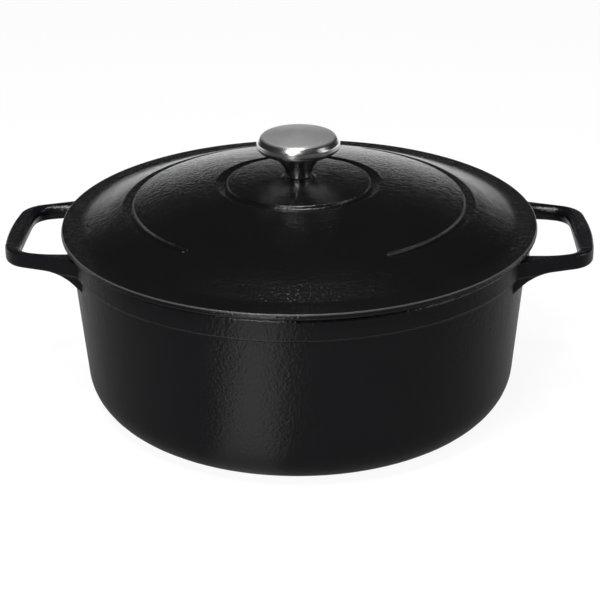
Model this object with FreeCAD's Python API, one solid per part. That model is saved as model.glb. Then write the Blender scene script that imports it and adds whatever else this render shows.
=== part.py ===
"""Round cast iron dutch oven with a loop handle each side and a domed lid with a steel knob.

Units are millimetres. +Z is up, the handles lie along X, and the origin is the centre of the base.
Every piece is one solid, modelled in place with the lid closed.
"""
import FreeCAD, Part
import os
from math import asin, cos, radians, sin, sqrt, tan
from FreeCAD import Vector

# Pot
POT_HEIGHT = 112.8          # base to the rim that the lid lies on
BAND_RADIUS = 141.2         # thickened band at the rim
BAND_STEP = 1.9             # how far the band stands out from the wall below it
BAND_HEIGHT = 13.7          # the band's lower edge, below the rim
WALL_DRAFT = 0.081          # the wall leans out this much for each mm of height
WALL_THICKNESS = 4.0
FLOOR_THICKNESS = 4.5
FOOT_CORNER = 26.0          # rounding between wall and base, outside
RIM_WIDTH = 6.2             # band thickness at the rim

# Handles
HANDLE_STANDOUT = 37.7      # outside of the band to the outside of the grip
HANDLE_DROP = 3.95          # rim down to the handle's top
HANDLE_DEPTH = 9.8          # top to underside
GRIP_WIDTH = 13.6           # the bar that the fingers close on
LEG_WIDTH = 8.8
HANDLE_SPAN = 91.1          # across the two legs
HANDLE_CORNER = 18.0
GAP_CORNER = 12.0           # rounding of the opening's corners beside the grip
GRIP_BOW = 2.9              # the grip bulges outwards by this much in its middle
HANDLE_TAPER = 4.2          # the opening's sides lean outwards by this much down to the underside
OUTER_EDGE = 1.5            # rounding along the handle's upper outer edge
INNER_EDGE = 4.0            # rounding along the opening's upper edge
UNDER_EDGE = 2.4            # rounding along the lower outer edge
UNDER_INNER_EDGE = 1.3
ROOT_DROP = 7.6             # how much deeper a leg is where it joins the wall
ROOT_START = 1.0            # where its slope would meet the level underside, past the wall

# Lid
LID_OVERHANG = 3.8          # how far the lid's edge stands out past the band
LID_THICKNESS = 3.8
RIM_FACE = 3.4              # height of the lid's outer edge
FLANGE_WIDTH = 12.5         # flat margin around the dome
DOME_RISE = 30.1            # pot rim to the top of the dome
SHOULDER_RISE = 14.06       # pot rim to the height where the dome's arc ends
SHOULDER_WIDTH = 37.7       # lid's edge inwards to the radius where it ends
SKIRT = 4.7                 # straight slope from there outwards to the bend
LIP_DEPTH = 3.8             # ring under the lid that drops inside the pot
LIP_WIDTH = 4.0
LIP_GAP = 1.5               # play between the ring and the pot's mouth
SEAT_RELIEF = 0.8           # the margin's outer part stands clear of the pot's rim
LID_TURN = -2.9             # the round lid lies a little turned on the pot
GROOVE_WIDTH = 7.0
GROOVE_DEPTH = 1.8
GROOVE_STEEP = 1.3          # width of a groove's steep inner side; the outer side is a ramp
DIMPLE_WIDTH = 5.2          # round dimple at each end of the broken ring
INNER_GROOVE = 46.9         # mean radius of the full ring
OUTER_GROOVE_INSET = 41.0   # lid's edge inwards to the middle of the broken ring
FRONT_GAP = 34.7            # half angle of the plain place in the outer ring's front
BACK_GAP = 20.0             # half angle of the plain place at its back

# Knob and its fixing
BOSS_MARGIN = 1.1           # how far the raised boss shows around the stem's foot
BOSS_RISE = 0.7
KNOB_RADIUS = 25.2
KNOB_EQUATOR = 20.5         # widest place above the boss
KNOB_CROWN = 7.0            # widest place to the top
STEM_FOOT = 8.0             # radius of the stem at the lid
SHELL = 1.3                 # thickness of the knob's pressed shells
SEAM_PLAY = 0.1
SEAL_THICKNESS = 0.6
SCREW_RADIUS = 3.0          # M6
SCREW_LENGTH = 20.0
SCREW_PLAY = 0.05           # thread crest to the threads it turns in
SCREW_END_PLAY = 1.3        # end of the screw to the bottom of its thread in the insert
HOLE_PLAY = 0.3             # screw to the hole in the lid
WASHER_PLAY = 0.2
WASHER_RADIUS = 6.0
WASHER_THICKNESS = 1.6
SPRING_THICKNESS = 1.5
HEAD_RADIUS = 6.0
HEAD_HEIGHT = 3.8
INSERT_RADIUS = 5.5
INSERT_PLAY = 0.05
PAD_RADIUS = 10.5           # flat pad under the lid that the washer bears on

RIM = POT_HEIGHT
HANDLE_REACH = BAND_RADIUS + HANDLE_STANDOUT
HANDLE_TOP = RIM - HANDLE_DROP
LID_RADIUS = BAND_RADIUS + LID_OVERHANG
SHOULDER = LID_RADIUS - SHOULDER_WIDTH
DOME_FALL = DOME_RISE - SHOULDER_RISE
DOME_RADIUS = (SHOULDER ** 2 + DOME_FALL ** 2) / (2 * DOME_FALL)
DOME_EDGE = asin(SHOULDER / DOME_RADIUS)
OUTER_GROOVE = LID_RADIUS - OUTER_GROOVE_INSET
BOSS_RADIUS = STEM_FOOT + BOSS_MARGIN
APEX = RIM + DOME_RISE
BOSS_TOP = APEX + BOSS_RISE
PAD = APEX - LID_THICKNESS - BOSS_RISE
WASHER_BOTTOM = PAD - WASHER_THICKNESS
HEAD_TOP = WASHER_BOTTOM - SPRING_THICKNESS
KNOB_FOOT = BOSS_TOP + SEAL_THICKNESS
EQUATOR = BOSS_TOP + KNOB_EQUATOR


def contour(corners, point):
    """A closed face of straight lines, each corner (a, b, radius) rounded to its radius.

    Where two roundings would overrun the side between them, both shrink to share it.
    """
    count = len(corners)
    spots = [Vector(a, b, 0) for a, b, radius in corners]
    sides = [spots[(i + 1) % count] - spots[i] for i in range(count)]
    turns = [sides[i - 1].getAngle(sides[i]) for i in range(count)]
    reach = [corners[i][2] * tan(turns[i] / 2) for i in range(count)]
    share = [1.0] * count
    for i in range(count):
        following = (i + 1) % count
        wanted = reach[i] + reach[following]
        if wanted > sides[i].Length:
            ratio = sides[i].Length / wanted
            share[i] = min(share[i], ratio)
            share[following] = min(share[following], ratio)
    edges = []
    last = None
    first = None
    for i in range(count):
        here = spots[i]
        into = Vector(sides[i - 1]).normalize()
        out = Vector(sides[i]).normalize()
        cut = reach[i] * share[i]
        start = here - into * cut
        finish = here + out * cut
        if last is not None and (start - last).Length > 1e-4:
            edges.append(Part.makeLine(point(last), point(start)))
        elif last is not None:
            start = last
        if first is None:
            first = start
        if cut > 1e-6:
            radius = cut / tan(turns[i] / 2)
            middle = here + (out - into).normalize() * (radius / cos(turns[i] / 2) - radius)
            edges.append(Part.Arc(point(start), point(middle), point(finish)).toShape())
            last = finish
        else:
            last = here
    if (first - last).Length > 1e-4:
        edges.append(Part.makeLine(point(last), point(first)))
    return Part.Face(Part.Wire(edges))


def turned(corners):
    """A solid of revolution about Z from corners (radius, height, rounding)."""
    face = contour(corners, lambda p: Vector(p.x, 0, p.y))
    return face.revolve(Vector(0, 0, 0), Vector(0, 0, 1), 360)


def upright(corners, bottom, height):
    """A plan outline (x, y, rounding) raised to a prism."""
    face = contour(corners, lambda p: Vector(p.x, p.y, bottom))
    return face.extrude(Vector(0, 0, height))


def cylinder(radius, bottom, top):
    return Part.makeCylinder(radius, top - bottom, Vector(0, 0, bottom))


def tube(inner, outer, bottom, top):
    return cylinder(outer, bottom, top).cut(cylinder(inner, bottom - 1, top + 1))


def half_wall(height):
    """Outer radius of the pot's wall below the band at a height."""
    return BAND_RADIUS - BAND_STEP - WALL_DRAFT * (RIM - BAND_HEIGHT - height)


def pot_bowl():
    ledge = RIM - BAND_HEIGHT
    mouth = BAND_RADIUS - RIM_WIDTH
    inside = half_wall(0) - WALL_THICKNESS
    return turned([
        (0, 0, 0),
        (half_wall(0), 0, FOOT_CORNER),
        (half_wall(ledge), ledge - 1.4, 1.6),
        (BAND_RADIUS - 0.2, ledge + 0.3, 1.2),
        (BAND_RADIUS, RIM, 2.6),
        (mouth, RIM, 1.6),
        (inside, FLOOR_THICKNESS, FOOT_CORNER - WALL_THICKNESS),
        (0, FLOOR_THICKNESS, 0),
    ])


def finger_gap(end, low):
    """The opening's solid down to a height. Its sides lean outwards going down."""
    wall = half_wall(RIM - BAND_HEIGHT)
    grip = HANDLE_REACH - GRIP_WIDTH
    inner = HANDLE_SPAN / 2 - LEG_WIDTH
    side = [
        (end, inner, 0),
        (wall + 13, inner, 60),
        (grip + 0.1, inner - 4.3, GAP_CORNER),
        (grip + 0.3, 0, 300),
    ]
    side += [(x, -y, r) for x, y, r in reversed(side[:-1])]
    upper = contour(side, lambda p: Vector(p.x, p.y, HANDLE_TOP)).OuterWire
    lower = upper.makeOffset2D(HANDLE_TAPER * (HANDLE_TOP - low) / HANDLE_DEPTH)
    lower.translate(Vector(0, 0, low - HANDLE_TOP))
    web = wall - 0.5
    gap = Part.makeLoft([upper, lower], True, True).cut(cylinder(web, low - 1, HANDLE_TOP + 1))
    crotch = [e for e in gap.Edges if e.BoundBox.ZLength > 1 and abs(hypot2(e) - web) < 1]
    return gap.makeFillet(4.0, crotch)


def handle():
    """The loop on the +X side with sharp edges, running on inwards past the pot's wall."""
    wall = half_wall(RIM - BAND_HEIGHT)
    end = wall - 21
    under = HANDLE_TOP - HANDLE_DEPTH
    low = under - 3 * ROOT_DROP
    half = HANDLE_SPAN / 2
    outside = [
        (end, half + 14, 0),
        (wall - 4, half + 6.2, 22),
        (wall + 13, half, 40),
        (HANDLE_REACH - GRIP_BOW, half - 8.0, HANDLE_CORNER),
        (HANDLE_REACH + GRIP_BOW / 4, 0, 200),
    ]
    outside += [(x, -y, r) for x, y, r in reversed(outside[:-1])]
    tall = HANDLE_TOP - low
    gap = finger_gap(end, low)
    loop = upright(outside, low, tall).cut(gap)
    belly = contour([
        (wall - 43, low - 30, 0),
        (wall - 43, under - 4.5 * ROOT_DROP, 0),
        (wall + ROOT_START, under, 30),
        (HANDLE_REACH + 20, under, 0),
        (HANDLE_REACH + 20, low - 30, 0),
    ], lambda p: Vector(p.x, -100, p.y)).extrude(Vector(0, 200, 0))
    return loop.cut(belly)


def upright_edge(edge):
    box = edge.BoundBox
    return box.ZLength > 1 and box.XLength < 0.01 and box.YLength < 0.01


def hypot2(edge):
    middle = edge.CenterOfMass
    return sqrt(middle.x ** 2 + middle.y ** 2)


def beside(shape, edge):
    """The middle of an edge and the normals there of the faces that meet in it."""
    middle = edge.valueAt((edge.FirstParameter + edge.LastParameter) / 2)
    faces = shape.ancestorsOfType(edge, Part.Face)
    return middle, [f.normalAt(*f.Surface.parameter(middle)) for f in faces]


def sharp_edges(shape):
    """Level edges between faces that meet at an angle, apart from the buried end's."""
    found = []
    end = shape.BoundBox.XMin + 0.1
    for edge in shape.Edges:
        if upright_edge(edge) or edge.BoundBox.XMax < end:
            continue
        normals = beside(shape, edge)[1]
        if len(normals) == 2 and normals[0].getAngle(normals[1]) > 0.05:
            found.append(edge)
    return found


def low_edges(loop, outside):
    """Sharp edges of the handle's underside, on its outside or around the opening."""
    found = []
    for edge in sharp_edges(loop):
        middle, normals = beside(loop, edge)
        centre = Vector((BAND_RADIUS + HANDLE_REACH) / 2, 0, middle.z)
        side = min(normals, key=lambda normal: abs(normal.z))
        if middle.z < HANDLE_TOP - HANDLE_DEPTH / 2 - 0.5:
            if (side.dot(middle - centre) > 0) == outside:
                found.append(edge)
    return found


def top_wires(loop):
    """Outer and inner outlines of the handle's level top."""
    top = [f for f in loop.Faces if f.BoundBox.ZMin > HANDLE_TOP - 0.01][0]
    outer = top.OuterWire
    inner = [w for w in top.Wires if not w.isSame(outer)]
    return outer, inner[0]


def softened_handle():
    """The loop with its edges rounded, cut off inside the thickness of the pot's wall.

    Its back half is made, and mirrored for the front.
    """
    loop = handle()
    end = loop.BoundBox.XMin + 0.1
    outer = [e for e in top_wires(loop)[0].Edges if e.BoundBox.XMax > end]
    loop = loop.makeFillet(OUTER_EDGE, outer)
    loop = loop.makeFillet(min(INNER_EDGE, 0.46 * LEG_WIDTH), top_wires(loop)[1].Edges)
    loop = loop.makeFillet(UNDER_EDGE, low_edges(loop, True))
    loop = loop.makeFillet(UNDER_INNER_EDGE, low_edges(loop, False))
    buried = half_wall(RIM - BAND_HEIGHT) - WALL_THICKNESS / 2
    size = 2 * HANDLE_REACH
    half = loop.cut(cylinder(buried, 0, RIM)).common(Part.makeBox(size, size, size))
    return half.fuse(half.mirror(Vector(0, 0, 0), Vector(0, 1, 0)))


def pot():
    loop = softened_handle()
    other = loop.mirror(Vector(0, 0, 0), Vector(1, 0, 0))
    return pot_bowl().fuse(loop).fuse(other).removeSplitter().Solids[0]


def dome_height(radius):
    return APEX - DOME_RADIUS + sqrt(DOME_RADIUS ** 2 - radius ** 2)


def dome_corner(first, depth):
    """Corner and rounding of the dome's arc, offset down by a depth, from a radius to its edge."""
    radius = DOME_RADIUS - depth
    start = asin(first / radius)
    edge = DOME_EDGE
    away = radius / cos((edge - start) / 2)
    middle = (edge + start) / 2
    return (away * sin(middle), APEX - DOME_RADIUS + away * cos(middle), radius)


def skirt_height(x, depth):
    """Height of the straight slope that carries on from the dome's arc, offset down by a depth."""
    radius = DOME_RADIUS - depth
    edge = DOME_EDGE
    return APEX - DOME_RADIUS + radius * cos(edge) - (x - radius * sin(edge)) * tan(edge)


def lid_profile():
    """Top from the screw's hole outwards, over the edge, then the underside back to the hole."""
    hole = SCREW_RADIUS + HOLE_PLAY
    bend = SHOULDER + SKIRT
    top_edge = LID_RADIUS - 0.6
    flange = LID_RADIUS - FLANGE_WIDTH
    low_edge = RIM + SEAT_RELIEF
    margin = low_edge + RIM_FACE
    lip_out = BAND_RADIUS - RIM_WIDTH - LIP_GAP
    lip_in = lip_out - LIP_WIDTH
    seat_out = BAND_RADIUS - 1.2
    boss_foot = BOSS_RADIUS + 1.5
    pad_foot = PAD_RADIUS + 4.0
    under = DOME_RADIUS - LID_THICKNESS
    under_z = APEX - DOME_RADIUS + sqrt(under ** 2 - pad_foot ** 2)
    return [
        (hole, BOSS_TOP, 0),
        (BOSS_RADIUS, BOSS_TOP, 0.5),
        (boss_foot, dome_height(boss_foot), 0),
        dome_corner(boss_foot, 0),
        (bend, skirt_height(bend, 0), 110),
        (flange, margin, 12),
        (top_edge, margin, 0.7),
        (LID_RADIUS, low_edge + 0.9, 0.8),
        (LID_RADIUS - 0.3, low_edge, 0.3),
        (seat_out, low_edge, 0.5),
        (seat_out - 1.0, RIM, 0.5),
        (lip_out + 0.4, RIM, 0.8),
        (lip_out, RIM - LIP_DEPTH, 1.2),
        (lip_in, RIM - LIP_DEPTH, 1.2),
        (lip_in - 1.5, RIM + 1.0, 4.0),
        (lip_in - 2.0, margin - 1.2, 8),
        (bend - 1.5, skirt_height(bend - 1.5, LID_THICKNESS), 100),
        dome_corner(pad_foot, LID_THICKNESS),
        (pad_foot, under_z, 0),
        (PAD_RADIUS, PAD, 0.5),
        (hole, PAD, 0),
    ]


def groove(radius, start, sweep):
    """A channel on the dome: steep inner side, ramp outside, rounded lips, dimples at open ends."""
    slope = asin(radius / DOME_RADIUS)
    out = Vector(cos(slope), 0, -sin(slope))
    up = Vector(sin(slope), 0, cos(slope))
    middle = Vector(radius, 0, dome_height(radius))
    half = GROOVE_WIDTH / 2
    ring = contour([
        (-half - 1.5, 0.02, 0),
        (-half, 0.02, 0.7),
        (GROOVE_STEEP - half, -GROOVE_DEPTH, 0.8),
        (half, 0.02, 5.0),
        (half + 1.5, 0.02, 0),
        (half + 1.5, 3.0, 0),
        (-half - 1.5, 3.0, 0),
    ], lambda p: middle + out * p.x + up * p.y).revolve(Vector(0, 0, 0), Vector(0, 0, 1), sweep)
    if sweep >= 360:
        return [ring]
    ring.rotate(Vector(0, 0, 0), Vector(0, 0, 1), start)
    tools = [ring]
    ball = ((DIMPLE_WIDTH / 2) ** 2 + GROOVE_DEPTH ** 2) / (2 * GROOVE_DEPTH)
    spot = middle - out * (GROOVE_STEEP / 2) + up * (ball - GROOVE_DEPTH)
    for angle in (start, start + sweep):
        turn = FreeCAD.Rotation(Vector(0, 0, 1), angle)
        tools.append(Part.makeSphere(ball, turn.multVec(spot), turn.multVec(Vector(0, 1, 0))))
    return tools


def lid():
    body = turned(lid_profile())
    front = -90 + LID_TURN
    tools = groove(INNER_GROOVE, 0, 360)
    tools += groove(OUTER_GROOVE, front + FRONT_GAP, 180 - FRONT_GAP - BACK_GAP)
    tools += groove(OUTER_GROOVE, front + 180 + BACK_GAP, 180 - FRONT_GAP - BACK_GAP)
    for tool in tools:
        body = body.cut(tool)
    return body.removeSplitter().Solids[0]


def knob_cap():
    """Upper shell of the knob: a shallow domed disc with a rolled edge."""
    seam = EQUATOR + 0.4
    crown = EQUATOR + KNOB_CROWN
    return turned([
        (0, crown, 0),
        (9, crown, 100),
        (KNOB_RADIUS - 2.6, crown - 2.0, 5.0),
        (KNOB_RADIUS, seam + 1.0, 2.0),
        (KNOB_RADIUS, seam, 0),
        (KNOB_RADIUS - SHELL, seam, 0),
        (KNOB_RADIUS - SHELL, seam + 1.0, 1.2),
        (KNOB_RADIUS - 2.6 - SHELL, crown - 2.0 - SHELL, 3.8),
        (9, crown - SHELL, 98),
        (0, crown - SHELL, 0),
    ])


def knob_body():
    """Lower shell and stem of the knob, with a ring inside the cap's edge."""
    seam = EQUATOR + 0.4
    ring = KNOB_RADIUS - SHELL - SEAM_PLAY
    shelf = KNOB_FOOT + 13.0
    return turned([
        (INSERT_RADIUS, KNOB_FOOT, 0.3),
        (STEM_FOOT, KNOB_FOOT, 0.4),
        (STEM_FOOT + 0.1, KNOB_FOOT + 4.4, 14),
        (15.2, KNOB_FOOT + 13.4, 16),
        (KNOB_RADIUS - 2.8, EQUATOR - 4.6, 6),
        (KNOB_RADIUS, EQUATOR - 2.2, 3),
        (KNOB_RADIUS, seam, 0),
        (ring, seam, 0),
        (ring - 0.3, seam + 0.8, 0.2),
        (ring - 1.1, seam + 0.8, 0.2),
        (ring - 1.1, EQUATOR - 1.2, 2.5),
        (KNOB_RADIUS - 3.2 - SHELL, EQUATOR - 3.1, 4),
        (13.8, shelf, 6),
        (INSERT_RADIUS, shelf, 0.2),
    ])


def knob_insert():
    """Threaded bush in the stem, its flange on the stem's shelf inside the knob."""
    shelf = KNOB_FOOT + 13.0
    thread_end = HEAD_TOP + SCREW_LENGTH + SCREW_END_PLAY
    top = max(shelf + 1.4, thread_end + 2.0)
    bush = turned([
        (0, KNOB_FOOT, 0),
        (INSERT_RADIUS - INSERT_PLAY, KNOB_FOOT, 0.4),
        (INSERT_RADIUS - INSERT_PLAY, shelf, 0),
        (INSERT_RADIUS + 2.2, shelf, 0),
        (INSERT_RADIUS + 2.2, top, 0.4),
        (0, top, 0),
    ])
    return bush.cut(cylinder(SCREW_RADIUS, KNOB_FOOT - 1, thread_end))


def seal_washer():
    return tube(SCREW_RADIUS + HOLE_PLAY, STEM_FOOT - 0.5, BOSS_TOP, KNOB_FOOT)


def flat_washer():
    return turned([
        (SCREW_RADIUS + WASHER_PLAY, WASHER_BOTTOM, 0.2),
        (WASHER_RADIUS, WASHER_BOTTOM, 0.3),
        (WASHER_RADIUS, PAD, 0.2),
        (SCREW_RADIUS + WASHER_PLAY, PAD, 0.2),
    ])


def spring_washer():
    """Split lock washer, pressed flat, with its slanting cut."""
    ring = tube(SCREW_RADIUS + WASHER_PLAY / 2, WASHER_RADIUS - 0.1, HEAD_TOP, WASHER_BOTTOM)
    cut = Part.makeBox(WASHER_RADIUS + 2, 0.5, 3 * SPRING_THICKNESS,
                       Vector(0, -0.25, -1.5 * SPRING_THICKNESS))
    cut.rotate(Vector(0, 0, 0), Vector(1, 0, 0), 25)
    cut.translate(Vector(0, 0, HEAD_TOP + SPRING_THICKNESS / 2))
    return ring.cut(cut)


def knob_screw():
    """Pan-head screw from under the lid: threads as rings, a cross recess in the head."""
    crest = SCREW_RADIUS - SCREW_PLAY
    root = crest - 0.45
    end = HEAD_TOP + SCREW_LENGTH
    low = HEAD_TOP - HEAD_HEIGHT
    corners = [
        (0, low, 0),
        (HEAD_RADIUS - 1.6, low, 3.0),
        (HEAD_RADIUS, low + 1.6, 1.0),
        (HEAD_RADIUS, HEAD_TOP, 0.2),
        (crest, HEAD_TOP, 0),
    ]
    pitch = 1.0
    height = HEAD_TOP + 4.5
    while height + pitch < end - 0.4:
        corners += [(crest, height, 0), (root, height + 0.45 * pitch, 0),
                    (root, height + 0.55 * pitch, 0)]
        height += pitch
    corners += [(crest, height, 0), (crest, end - 0.6, 0), (root, end, 0), (0, end, 0)]
    screw = turned(corners)
    for angle in (0, 90):
        slot = Part.makeBox(5.6, 1.1, 2.0, Vector(-2.8, -0.55, low - 0.2))
        slot.rotate(Vector(0, 0, 0), Vector(0, 0, 1), angle + 20)
        screw = screw.cut(slot)
    return screw


os.makedirs("parts", exist_ok=True)
pot().exportStep("parts/pot_casting.step")
lid().exportStep("parts/lid_casting.step")
knob_cap().exportStep("parts/knob_cap.step")
knob_body().exportStep("parts/knob_body.step")
knob_insert().exportStep("parts/knob_insert.step")
seal_washer().exportStep("parts/seal_washer.step")
knob_screw().exportStep("parts/knob_screw.step")
flat_washer().exportStep("parts/flat_washer.step")
spring_washer().exportStep("parts/spring_washer.step")
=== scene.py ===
"""Looks of a round enamelled cast iron dutch oven: black castings and a steel knob.

Metres, +Z up, handles along X, front towards -Y. Each section is one piece of the object.
"""
from math import radians

import bpy
from mathutils import Matrix, Vector


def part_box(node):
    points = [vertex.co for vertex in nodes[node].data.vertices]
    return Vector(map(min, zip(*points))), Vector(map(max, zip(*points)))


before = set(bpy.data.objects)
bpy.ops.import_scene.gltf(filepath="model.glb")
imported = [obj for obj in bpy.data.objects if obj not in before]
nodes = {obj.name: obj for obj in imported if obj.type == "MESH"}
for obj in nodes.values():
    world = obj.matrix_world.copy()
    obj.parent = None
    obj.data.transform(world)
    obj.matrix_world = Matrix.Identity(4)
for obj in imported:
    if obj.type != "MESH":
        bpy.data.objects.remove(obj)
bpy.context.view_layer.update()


# ---------------------------------------------------------------------------------------
# Pot: bowl and both loop handles in one iron casting, sand cast, shot blasted and sprayed
# with black enamel. The fired coat follows the sand's fine pebbles. The inside and the rim
# have the rougher matt enamel that food doesn't stick to; the base is worn by the hob.
# A paler line along the band's lower edge is a painted highlight.

class Field:
    """A number that changes over a surface. Python's operators on it add Math nodes."""

    def __init__(self, finish, socket):
        self.finish = finish
        self.socket = socket

    def math(self, operation, first, second):
        settings = {"operation": operation}
        return self.finish.node("Math", settings, {0: first, 1: second})

    def __add__(self, other):
        return self.math("ADD", self, other)

    def __radd__(self, other):
        return self.math("ADD", other, self)

    def __sub__(self, other):
        return self.math("SUBTRACT", self, other)

    def __rsub__(self, other):
        return self.math("SUBTRACT", other, self)

    def __mul__(self, other):
        return self.math("MULTIPLY", self, other)

    def __rmul__(self, other):
        return self.math("MULTIPLY", other, self)

    def __truediv__(self, other):
        return self.math("DIVIDE", self, other)

    def __pow__(self, other):
        return self.math("POWER", self, other)

    def above(self, low, high):
        """0 below low, 1 above high, with a soft step between."""
        span = {"From Min": low, "From Max": high, "Value": self}
        return self.finish.node("MapRange", {"interpolation_type": "SMOOTHSTEP"}, span)


class Finish:
    """A material or other node tree, built one node at a time."""

    def __init__(self, owner):
        owner.use_nodes = True
        self.owner = owner
        self.tree = owner.node_tree
        self.tree.nodes.clear()

    def node(self, kind, settings=None, inputs=None, output=0):
        """Adds a node, sets it up, feeds its sockets and gives one of its outputs."""
        made = self.tree.nodes.new("ShaderNode" + kind)
        for name, value in (settings or {}).items():
            setattr(made, name, value)
        for name, value in (inputs or {}).items():
            socket = made.inputs[name]
            if isinstance(value, Field):
                self.tree.links.new(value.socket, socket)
            else:
                socket.default_value = value
        return Field(self, made.outputs[output]) if made.outputs else None

    def spot(self):
        return self.node("TexCoord", output="Object")

    def parts(self, vector):
        """The x, y and z of a vector."""
        return [self.node("SeparateXYZ", None, {0: vector}, axis) for axis in "XYZ"]

    def place(self):
        """x, y and z of the point, in metres, in the row's frame."""
        return self.parts(self.spot())

    def largest(self, first, second):
        return self.node("Math", {"operation": "MAXIMUM"}, {0: first, 1: second})

    def noise(self, scale, detail, roughness, where=None):
        inputs = {"Vector": where or self.spot(), "Scale": scale,
                  "Detail": detail, "Roughness": roughness}
        return self.node("TexNoise", None, inputs)

    def cells(self, scale):
        """Distance from the middles of scattered cells."""
        inputs = {"Vector": self.spot(), "Scale": scale}
        return self.node("TexVoronoi", None, inputs, "Distance")

    def pick(self, mask, first, second):
        """The first colour where the mask is 0, the second where it is 1."""
        factor, colour_a, colour_b, colour_out = 0, 6, 7, 2
        inputs = {factor: mask, colour_a: first, colour_b: second}
        return self.node("Mix", {"data_type": "RGBA"}, inputs, colour_out)

    def bump(self, height, distance, under=None):
        inputs = {"Height": height, "Distance": distance, "Strength": 1.0}
        if under:
            inputs["Normal"] = under
        return self.node("Bump", None, inputs)

    def surface(self, **sockets):
        """Ends the tree in one Principled shader; socket names have _ for their spaces."""
        inputs = {name.replace("_", " "): value for name, value in sockets.items()}
        shader = self.node("BsdfPrincipled", None, inputs, "BSDF")
        self.node("OutputMaterial", None, {"Surface": shader})


def finish_for(name):
    return Finish(bpy.data.materials.new(name))


def cover(piece, finish):
    """Gives a piece's slots the finish."""
    piece.data.materials.clear()
    piece.data.materials.append(finish.owner)


def from_axis(x, y):
    return (x * x + y * y) ** 0.5


POT_ENAMEL = (0.0052, 0.0050, 0.0064, 1)
POT_ENAMEL_THIN = (0.0072, 0.0070, 0.0084, 1)
MATT_ENAMEL = (0.0120, 0.0118, 0.0115, 1)
# paler enamel, used for wear on the base and for painted highlights along edges
WORN_AND_HIGHLIGHT_ENAMEL = (0.075, 0.073, 0.071, 1)
GLASS_IOR = 1.5                   # enamel is a glass
PEBBLE_SCALE = 560                # cells to the metre, as the other scales are
PEEL_SCALE = 210
PIT_SCALE = 330
WAVE_SCALE = 26
CLOUD_SCALE = 9
PEBBLE_HEIGHT = 0.00043
WAVE_HEIGHT = 0.0002


def enamel_coat(finish, thick, thin, matt, worn_and_highlight):
    """Black enamel with pebbles, a slow wave from the casting, matt areas, and paler areas of
    wear and painted highlight.
    """
    pebble = finish.noise(PEBBLE_SCALE, 2.5, 0.55)
    peel = finish.noise(PEEL_SCALE, 2.0, 0.5)
    wave = finish.noise(WAVE_SCALE, 2.0, 0.5)
    cloud = finish.noise(CLOUD_SCALE, 3.0, 0.6)
    pit = finish.cells(PIT_SCALE).above(0.04, 0.16)
    colour = finish.pick(cloud.above(0.35, 0.75), thick, thin)
    colour = finish.pick(matt, colour, MATT_ENAMEL)
    # wear and painted highlight lines take the paler colour
    colour = finish.pick(worn_and_highlight, colour, WORN_AND_HIGHLIGHT_ENAMEL)
    rough = 0.18 + 0.05 * peel + 0.04 * cloud + 0.20 * matt + 0.12 * worn_and_highlight
    height = 0.85 * pebble + 0.40 * peel + 0.04 * pit + matt * pebble * 0.5
    skin = finish.bump(wave, WAVE_HEIGHT)
    finish.surface(Base_Color=colour, Roughness=rough, IOR=GLASS_IOR,
                   Normal=finish.bump(height, PEBBLE_HEIGHT, skin))


INNER_CORNER_RADIUS = 0.0240      # middle of the wall's thickness at the floor's corner
INNER_CORNER_OUT = 0.1055
INNER_CORNER_UP = 0.0263
WALL_LEAN = 0.076
MIDDLE_BLUR = 0.0004              # half the width of the step from gloss to matt
RIM_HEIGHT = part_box("pot_casting")[1].z
RIM_MATT = (0.0012, 0.0005)       # below the rim: the matt enamel starts, and is full
FOOT_RUBBED = (0.0002, 0.0012)    # above the base: the hob rubs fully, and no longer
FOOT_WEAR = 0.33
BAND_HEIGHT = 0.0137              # the band's lower edge, where a highlight line is painted
EDGE_BREADTH = 0.0008
EDGE_HIGHLIGHT_SHARE = 0.27

pot_enamel = finish_for("pot_enamel")
x, y, z = pot_enamel.place()
radius = from_axis(x, y)
lean = WALL_LEAN * pot_enamel.largest(z - INNER_CORNER_UP, 0)
past = pot_enamel.largest(radius - INNER_CORNER_OUT - lean, 0)
below = pot_enamel.largest(INNER_CORNER_UP - z, 0)
inwards = INNER_CORNER_RADIUS - from_axis(past, below)
inside = inwards.above(-MIDDLE_BLUR, MIDDLE_BLUR)
rim = z.above(RIM_HEIGHT - RIM_MATT[0], RIM_HEIGHT - RIM_MATT[1])
scuff = pot_enamel.noise(75, 6.0, 0.7).above(0.46, 0.62)
base = (1 - z.above(*FOOT_RUBBED)) * scuff
# painted highlight: a thin paler line along the band's lower edge, on the outside only
drop = z - (RIM_HEIGHT - BAND_HEIGHT)
painted_highlight_line = (1 - (drop * drop).above(0.0, EDGE_BREADTH ** 2)) * (1 - inside)
enamel_coat(pot_enamel, POT_ENAMEL, POT_ENAMEL_THIN,
            matt=pot_enamel.largest(inside, rim),
            worn_and_highlight=base * FOOT_WEAR + painted_highlight_line * EDGE_HIGHLIGHT_SHARE)
cover(nodes["pot_casting"], pot_enamel)


# ---------------------------------------------------------------------------------------
# Lid: a second iron casting in the same enamel, a shallow dome with a flat margin, one
# whole ring and one broken ring sunk into it. Underneath it has the matt enamel as well.
# A paler line round the margin's outer top corner is a painted highlight.

LID_ENAMEL = (0.0046, 0.0046, 0.0047, 1)
LID_ENAMEL_THIN = (0.0062, 0.0062, 0.0063, 1)
LID_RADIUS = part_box("lid_casting")[1].x
LID_EDGE_TOP = RIM_HEIGHT + 0.0042
HIGHLIGHT_CORNER = (0.0011, 0.0006)    # in from the margin's corner: the painted highlight starts, and is full
FACING_DOWN = (-0.30, -0.05)      # the normal's height where the matt enamel ends

lid_enamel = finish_for("lid_enamel")
x, y, z = lid_enamel.place()
radius = from_axis(x, y)
normal = lid_enamel.node("NewGeometry", output="Normal")
facing = lid_enamel.parts(normal)[2]
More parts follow.
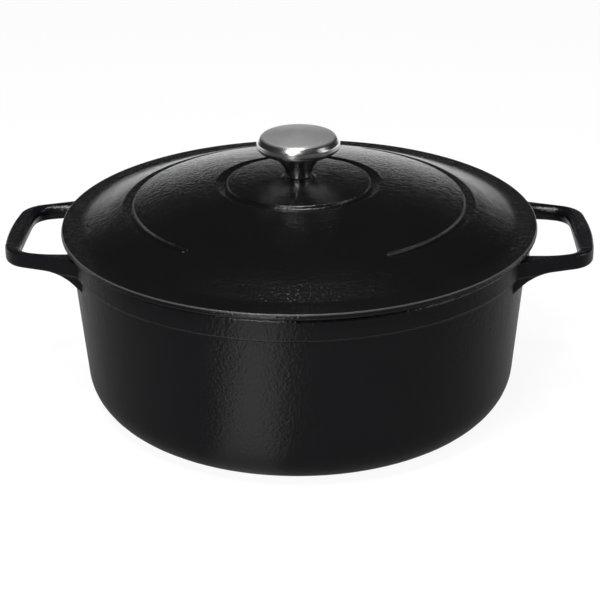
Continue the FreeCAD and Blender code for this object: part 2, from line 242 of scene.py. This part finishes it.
# painted highlight: a thin paler line along the margin's outer top corner
painted_highlight_line = radius.above(LID_RADIUS - HIGHLIGHT_CORNER[0], LID_RADIUS - HIGHLIGHT_CORNER[1])
painted_highlight_line = painted_highlight_line * z.above(LID_EDGE_TOP - HIGHLIGHT_CORNER[0], LID_EDGE_TOP - HIGHLIGHT_CORNER[1])
enamel_coat(lid_enamel, LID_ENAMEL, LID_ENAMEL_THIN,
            matt=1 - facing.above(*FACING_DOWN), worn_and_highlight=painted_highlight_line)
cover(nodes["lid_casting"], lid_enamel)


# ---------------------------------------------------------------------------------------
# Knob cap: the upper shell, drawn from stainless sheet. Its plain face is blasted and lightly
# brushed on a lathe, so its marks run round it; the rolled edge is polished.

SATIN_STEEL = (0.80, 0.80, 0.795, 1)
SATIN_SHADE = (0.70, 0.70, 0.695, 1)
ROLLED_EDGE = (0.60, 0.60, 0.595, 1)
ROLL_START = 0.0216               # the flat face ends
ROLL_END = 0.0236
BRUSH_HEIGHT = 0.00006
ACROSS_THE_MARKS = 0.25           # of a turn from the surface's own tangent


def lathe_marks(finish, across, along, detail, roughness):
    """Noise drawn out round the knob's axis: marks close together, long the way they run."""
    x, y, z = finish.place()
    turn = finish.node("Math", {"operation": "ARCTAN2"}, {0: y, 1: x})
    track = finish.node("CombineXYZ", None, {
        "X": from_axis(x, y) * across, "Y": turn * along, "Z": z * across})
    return finish.noise(1.0, detail, roughness, track)


satin = finish_for("satin_steel")
x, y, z = satin.place()
line = lathe_marks(satin, 2600, 1.6, 3.0, 0.6)
band = lathe_marks(satin, 420, 0.9, 2.0, 0.5)
touch = satin.noise(120, 3.0, 0.6)
rolled = from_axis(x, y).above(ROLL_START, ROLL_END)
colour = satin.pick(line.above(0.35, 0.65), SATIN_SHADE, SATIN_STEEL)
colour = satin.pick(rolled, colour, ROLLED_EDGE)
rough = 0.30 + 0.10 * line + 0.06 * band + 0.05 * touch - 0.19 * rolled
satin.surface(Base_Color=colour, Metallic=0.72 + 0.28 * rolled, Roughness=rough,
              Anisotropic=0.2, Anisotropic_Rotation=ACROSS_THE_MARKS,
              Normal=satin.bump(line * 0.7 + band * 0.5, BRUSH_HEIGHT))
cover(nodes["knob_cap"], satin)


# ---------------------------------------------------------------------------------------
# Knob body: the lower shell and stem, spun from the same sheet and polished with a wheel.
# It keeps a few fine turning marks and the dull film that hands leave.

POLISHED_STEEL = (0.68, 0.68, 0.674, 1)
POLISHED_FILM = (0.60, 0.596, 0.588, 1)
TURNING_HEIGHT = 0.000012

polished = finish_for("polished_steel")
line = lathe_marks(polished, 1500, 0.8, 2.0, 0.5)
film = polished.noise(95, 4.0, 0.6)
colour = polished.pick(film.above(0.4, 0.7), POLISHED_STEEL, POLISHED_FILM)
rough = 0.19 + 0.05 * line + 0.06 * film.above(0.45, 0.75)
polished.surface(Base_Color=colour, Metallic=1.0, Roughness=rough,
                 Anisotropic=0.5, Anisotropic_Rotation=ACROSS_THE_MARKS,
                 Normal=polished.bump(line, TURNING_HEIGHT))
cover(nodes["knob_body"], polished)


# ---------------------------------------------------------------------------------------
# Insert, screw and washers: turned and stamped steel with bright zinc on it. They hold the
# knob from under the lid, and show only when the lid is lifted.

ZINC = (0.43, 0.44, 0.46, 1)
ZINC_DULL = (0.30, 0.31, 0.33, 1)
PLATING_HEIGHT = 0.00005

zinc = finish_for("zinc_plate")
crystal = zinc.cells(900)
haze = zinc.noise(420, 3.0, 0.6)
colour = zinc.pick(haze.above(0.35, 0.7), ZINC, ZINC_DULL)
rough = 0.27 + 0.12 * haze + 0.08 * crystal
zinc.surface(Base_Color=colour, Metallic=1.0, Roughness=rough,
             Normal=zinc.bump(haze + crystal * 0.4, PLATING_HEIGHT))
for name in ("knob_insert", "knob_screw", "flat_washer", "spring_washer"):
    cover(nodes[name], zinc)


# ---------------------------------------------------------------------------------------
# Seal: a thin washer punched from heat-proof silicone sheet. It lies between the stem and
# the lid, held by the screw, and picks up a little dust.

SILICONE = (0.013, 0.013, 0.013, 1)
SILICONE_DUST = (0.030, 0.029, 0.028, 1)
DUST_HEIGHT = 0.00004

silicone = finish_for("silicone")
dust = silicone.noise(700, 4.0, 0.65)
colour = silicone.pick(dust.above(0.45, 0.75), SILICONE, SILICONE_DUST)
silicone.surface(Base_Color=colour, Roughness=0.62 + 0.18 * dust,
                 Normal=silicone.bump(dust, DUST_HEIGHT))
cover(nodes["seal_washer"], silicone)


# ---------------------------------------------------------------------------------------
# Table: plain and pale, seen white with the pot's soft shadow. To glossy rays it glows
# instead, a painted reflection: dim in front, bright behind, with one painted strip of
# light front left.

WHITE = (1, 1, 1, 1)
TABLE_WIDTH = 8.0
TABLE_DROP = 0.0003               # keeps the table's face clear of the pot's base
TABLE_PALE = (0.8, 0.8, 0.8, 1)
SHADOW_SHARE = (0.13, 0.13, 0.13, 1)
PAPER_GLOW = 0.93
FRONT_SHINE = 0.13
BACK_SHINE = 1.35
BACK_START = -0.16
BACK_FULL = 0.90
STRIP_LEAN = 0.27                 # left of the pot's front, as a slope
STRIP_BREADTH = 0.065             # square of that slope from its middle to its edge
STRIP_SHINE = 0.66
STRIP_FULL = -0.20                # it fades out towards the pot
STRIP_END = -0.10
NO_ZERO = 0.0001                  # keeps the division whole beside the pot's axis


def seen_by(finish, kind):
    return finish.node("LightPath", output=kind)


bpy.ops.mesh.primitive_plane_add(size=TABLE_WIDTH, location=(0, 0, -TABLE_DROP))
table = bpy.context.object
table.name = "studio_table"
table_top = finish_for("studio_table")
lit = table_top.node("BsdfDiffuse", None, {"Color": TABLE_PALE}, "BSDF")
shadow = table_top.node("BsdfDiffuse", None, {"Color": SHADOW_SHARE}, "BSDF")
white = table_top.node("Emission", None, {"Color": WHITE, "Strength": PAPER_GLOW})
paper = table_top.node("AddShader", None, {0: shadow, 1: white})
x, y, z = table_top.place()
beside = x - y * STRIP_LEAN
strip = 1 - (beside * beside / (y * y + NO_ZERO)).above(0.0, STRIP_BREADTH)
strip = STRIP_SHINE * strip * (1 - y.above(STRIP_FULL, STRIP_END))
shine = FRONT_SHINE + BACK_SHINE * y.above(BACK_START, BACK_FULL) + strip
# painted reflection: to glossy rays the table glows, dim in front, bright behind, with a
# strip of light front left
painted_reflection = table_top.node("Emission", None, {"Color": shine, "Strength": 1.0})
look = table_top.node("MixShader", None, {
    0: seen_by(table_top, "Is Camera Ray"), 1: lit, 2: paper})
look = table_top.node("MixShader", None, {
    0: seen_by(table_top, "Is Glossy Ray"), 1: look, 2: painted_reflection})
table_top.node("OutputMaterial", None, {"Surface": look})
cover(table, table_top)


# ---------------------------------------------------------------------------------------
# Room: white to the camera. To all else it is dark overhead and pale low down, most of all
# behind the pot and a little on its right.

HORIZON = (-0.03, 0.13)           # the ray's height where the glow starts to go, and is gone
RIGHT_SIDE = (-0.1, 0.5)
BEHIND = (-0.35, 0.75)
ROOM_DIM = 0.03
FRONT_GLOW = 0.06
RIGHT_GLOW = 0.25
BACK_GLOW = 1.4

room = bpy.data.worlds.new("studio_room")
bpy.context.scene.world = room
walls = Finish(room)
side, depth, height = walls.parts(walls.node("TexCoord", output="Generated"))
reach = FRONT_GLOW + RIGHT_GLOW * side.above(*RIGHT_SIDE) + BACK_GLOW * depth.above(*BEHIND)
shade = ROOM_DIM + (1 - height.above(*HORIZON)) * reach
shade = walls.largest(shade, seen_by(walls, "Is Camera Ray"))
light = walls.node("Background", None, {"Color": shade, "Strength": 1.0})
walls.node("OutputWorld", None, {"Surface": light})


# ---------------------------------------------------------------------------------------
# Lamps: four soft boxes, one over the pot, one above its front, a tall narrow one to the
# left, and a weak one on the right.

def soft_box(name, place, size, aim, watts):
    lamp = bpy.data.lights.new(name, "AREA")
    lamp.shape = "RECTANGLE"
    lamp.size, lamp.size_y = size
    lamp.energy = watts
    holder = bpy.data.objects.new(name, lamp)
    bpy.context.scene.collection.objects.link(holder)
    holder.location = place
    holder.rotation_euler = (Vector(aim) - Vector(place)).to_track_quat("-Z", "Y").to_euler()
    holder.visible_camera = False


soft_box("top_box", place=(-0.03, -0.26, 1.5), size=(0.42, 0.24),
         aim=(-0.03, -0.15, 0.1), watts=6)
soft_box("front_box", place=(-0.26, -0.72, 1.35), size=(0.36, 0.36),
         aim=(0, 0, 0.1), watts=12)
soft_box("left_strip", place=(-0.36, -1.25, 0.55), size=(0.10, 0.9),
         aim=(0, 0, 0.12), watts=5)
soft_box("right_box", place=(1.5, -0.3, 0.8), size=(0.5, 1.0),
         aim=(0, 0, 0.08), watts=3)


# ---------------------------------------------------------------------------------------
# Camera: a long lens, a little right of the pot's front and looking down at about 24
# degrees.

EYE = Vector((0.0344, -0.9845, 0.5035))
TARGET = Vector((0, 0, 0.06073))
ROLL = radians(-0.607)
SENSOR_WIDTH = 36
FOCAL_LENGTH = 103.5

lens = bpy.data.cameras.new("camera")
lens.sensor_width = SENSOR_WIDTH
lens.lens = FOCAL_LENGTH
camera = bpy.data.objects.new("camera", lens)
bpy.context.scene.collection.objects.link(camera)
aimed = (TARGET - EYE).to_track_quat("-Z", "Y").to_matrix().to_4x4()
camera.matrix_world = Matrix.Translation(EYE) @ aimed @ Matrix.Rotation(ROLL, 4, "Z")
bpy.context.scene.camera = camera
bpy.context.scene.view_settings.view_transform = "Standard"
